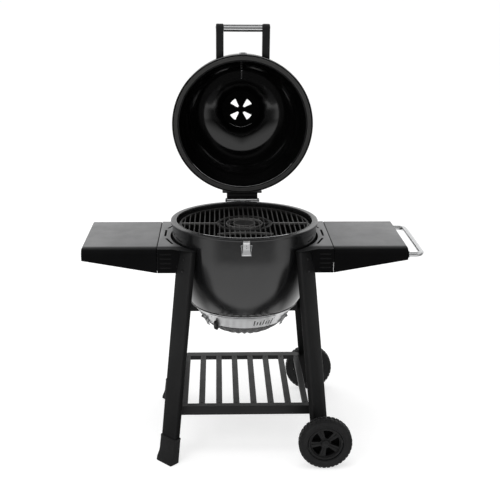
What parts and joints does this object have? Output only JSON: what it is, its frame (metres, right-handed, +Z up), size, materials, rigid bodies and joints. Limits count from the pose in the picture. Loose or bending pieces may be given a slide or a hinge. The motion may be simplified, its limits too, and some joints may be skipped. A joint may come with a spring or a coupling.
{
  "type": "charcoal grill on wheeled cart",
  "caption": "Round double-walled lidded charcoal grill on a wheeled four-leg cart, with folding side shelves, a slatted lower rack, air dampers and a drop-off ash pan; lid open.",
  "frame": {"origin": "bottom centre of the whole object's bounding box, lid open", "axes": "+Z up; -Y towards the front (the latch and handle side); +X towards the viewer's right when facing the front, the towel bar and wheel side"},
  "size_m": [1.2806, 1.0062, 1.6023],
  "materials": {
    "body_paint": "semi-gloss charcoal-black powder coat",
    "rim_paint": "dark grey coated steel, satin",
    "enamel": "glossy black porcelain enamel",
    "frame_paint": "satin black",
    "rack_paint": "satin black",
    "shelf_paint": "charcoal metallic, semi-gloss",
    "black_plastic": "moulded, satin",
    "tyre_plastic": "hard moulded tread",
    "cast_iron": "seasoned black",
    "stainless": "bright brushed",
    "galvanised": "dull bright sheet",
    "pan_paint": "dark grey satin",
    "chrome": "polished",
    "felt": "black fibre gasket",
    "needle_red": "red"
  },
  "bodies": {
    "cart": {"bowl_shell": "body_paint", "bowl_rim": "rim_paint", "bowl_liner": "enamel", "charcoal_grate": "cast_iron", "lower_cone": "galvanised", "leg_front_left": "frame_paint", "leg_front_right": "frame_paint", "leg_rear_left": "frame_paint", "leg_rear_right": "frame_paint", "foot_front": "black_plastic", "foot_rear": "black_plastic", "rail_front": "rack_paint", "rail_rear": "rack_paint", "stretcher_rear": "rack_paint", "slat_1": "rack_paint", "slat_2": "rack_paint", "slat_3": "rack_paint", "slat_4": "rack_paint", "slat_5": "rack_paint", "slat_6": "rack_paint", "slat_7": "rack_paint", "slat_8": "rack_paint", "bracket_left": "shelf_paint", "bracket_right": "shelf_paint", "fold_pin_left": "chrome", "fold_pin_right": "chrome", "axle": "chrome", "latch_base": "chrome", "hinge_lower": "frame_paint", "hinge_pin": "chrome"},
    "lid": {"lid_shell": "body_paint", "lid_liner": "enamel", "lid_rim": "rim_paint", "lid_gasket": "felt", "handle_post_left": "black_plastic", "handle_post_right": "black_plastic", "handle_bar": "stainless", "gauge_stem": "stainless", "gauge_body": "stainless", "vent_base": "galvanised", "lid_strike": "chrome", "hinge_upper": "frame_paint"},
    "vent_damper": {"vent_damper": "frame_paint"},
    "gauge_needle": {"gauge_needle": "needle_red"},
    "latch_lever": {"latch_lever": "chrome"},
    "latch_bail": {"latch_bail": "chrome"},
    "left_shelf": {"shelf_left": "shelf_paint"},
    "right_shelf": {"shelf_right": "shelf_paint", "towel_bar": "stainless"},
    "front_wheel": {"tyre_front": "tyre_plastic", "hub_front": "black_plastic"},
    "rear_wheel": {"tyre_rear": "tyre_plastic", "hub_rear": "black_plastic"},
    "ash_pan": {"ash_pan": "pan_paint"},
    "air_damper": {"damper_band": "galvanised", "damper_knob": "black_plastic"},
    "left_clip": {"clip_left": "stainless"},
    "right_clip": {"clip_right": "stainless"},
    "cooking_grate": {"cooking_grate": "cast_iron"},
    "center_grate": {"center_grate": "cast_iron"}
  },
  "joints": [
    {"name": "lid_hinge", "type": "hinge", "parent": "cart", "child": "lid", "pos_m": [-0.0316, 0.18687, 0.8785], "axis": [1, 0, 0], "range_deg": [0, 86]},
    {"name": "vent_damper_turn", "type": "hinge", "parent": "lid", "child": "vent_damper", "pos_m": [-0.0316, 0.47649, 1.21803], "axis": [0, 0.9976, 0.0698], "range_deg": [0, 45]},
    {"name": "gauge_needle_turn", "type": "hinge", "parent": "lid", "child": "gauge_needle", "pos_m": [-0.0316, 0.41827, 1.4309], "axis": [0, -0.6295, -0.777], "range_deg": [0, 270]},
    {"name": "latch_lever_swing", "type": "hinge", "parent": "cart", "child": "latch_lever", "pos_m": [-0.0316, -0.41683, 0.823], "axis": [1, 0, 0], "range_deg": [0, 100]},
    {"name": "latch_bail_swing", "type": "hinge", "parent": "latch_lever", "child": "latch_bail", "pos_m": [-0.0316, -0.42043, 0.848], "axis": [1, 0, 0], "range_deg": [0, 30]},
    {"name": "left_shelf_fold", "type": "hinge", "parent": "cart", "child": "left_shelf", "pos_m": [-0.3606, -0.13163, 0.7205], "axis": [0, -1, 0], "range_deg": [0, 90]},
    {"name": "right_shelf_fold", "type": "hinge", "parent": "cart", "child": "right_shelf", "pos_m": [0.2974, -0.13163, 0.7205], "axis": [0, 1, 0], "range_deg": [0, 90]},
    {"name": "front_wheel_spin", "type": "hinge", "parent": "cart", "child": "front_wheel", "pos_m": [0.2685, -0.48063, 0.1016], "axis": [0, 1, 0], "continuous": true},
    {"name": "rear_wheel_spin", "type": "hinge", "parent": "cart", "child": "rear_wheel", "pos_m": [0.2685, 0.21737, 0.1016], "axis": [0, 1, 0], "continuous": true},
    {"name": "ash_pan_drop", "type": "slide", "parent": "cart", "child": "ash_pan", "axis": [0, 0, -1], "range_m": [0, 0.08]},
    {"name": "air_damper_slide", "type": "hinge", "parent": "cart", "child": "air_damper", "pos_m": [-0.0316, -0.13163, 0.52], "axis": [0, 0, 1], "range_deg": [0, 14]},
    {"name": "left_clip_swing", "type": "hinge", "parent": "cart", "child": "left_clip", "pos_m": [-0.18869, -0.23171, 0.5135], "axis": [-0.5373, 0.8434, 0], "range_deg": [0, 70]},
    {"name": "right_clip_swing", "type": "hinge", "parent": "cart", "child": "right_clip", "pos_m": [0.12549, -0.23171, 0.5135], "axis": [-0.5373, -0.8434, 0], "range_deg": [0, 70]},
    {"name": "cooking_grate_lift", "type": "slide", "parent": "cart", "child": "cooking_grate", "axis": [0, 0, 1], "range_m": [0, 0.06]},
    {"name": "center_grate_lift", "type": "slide", "parent": "cooking_grate", "child": "center_grate", "axis": [0, 0, 1], "range_m": [0, 0.06]}
  ]
}
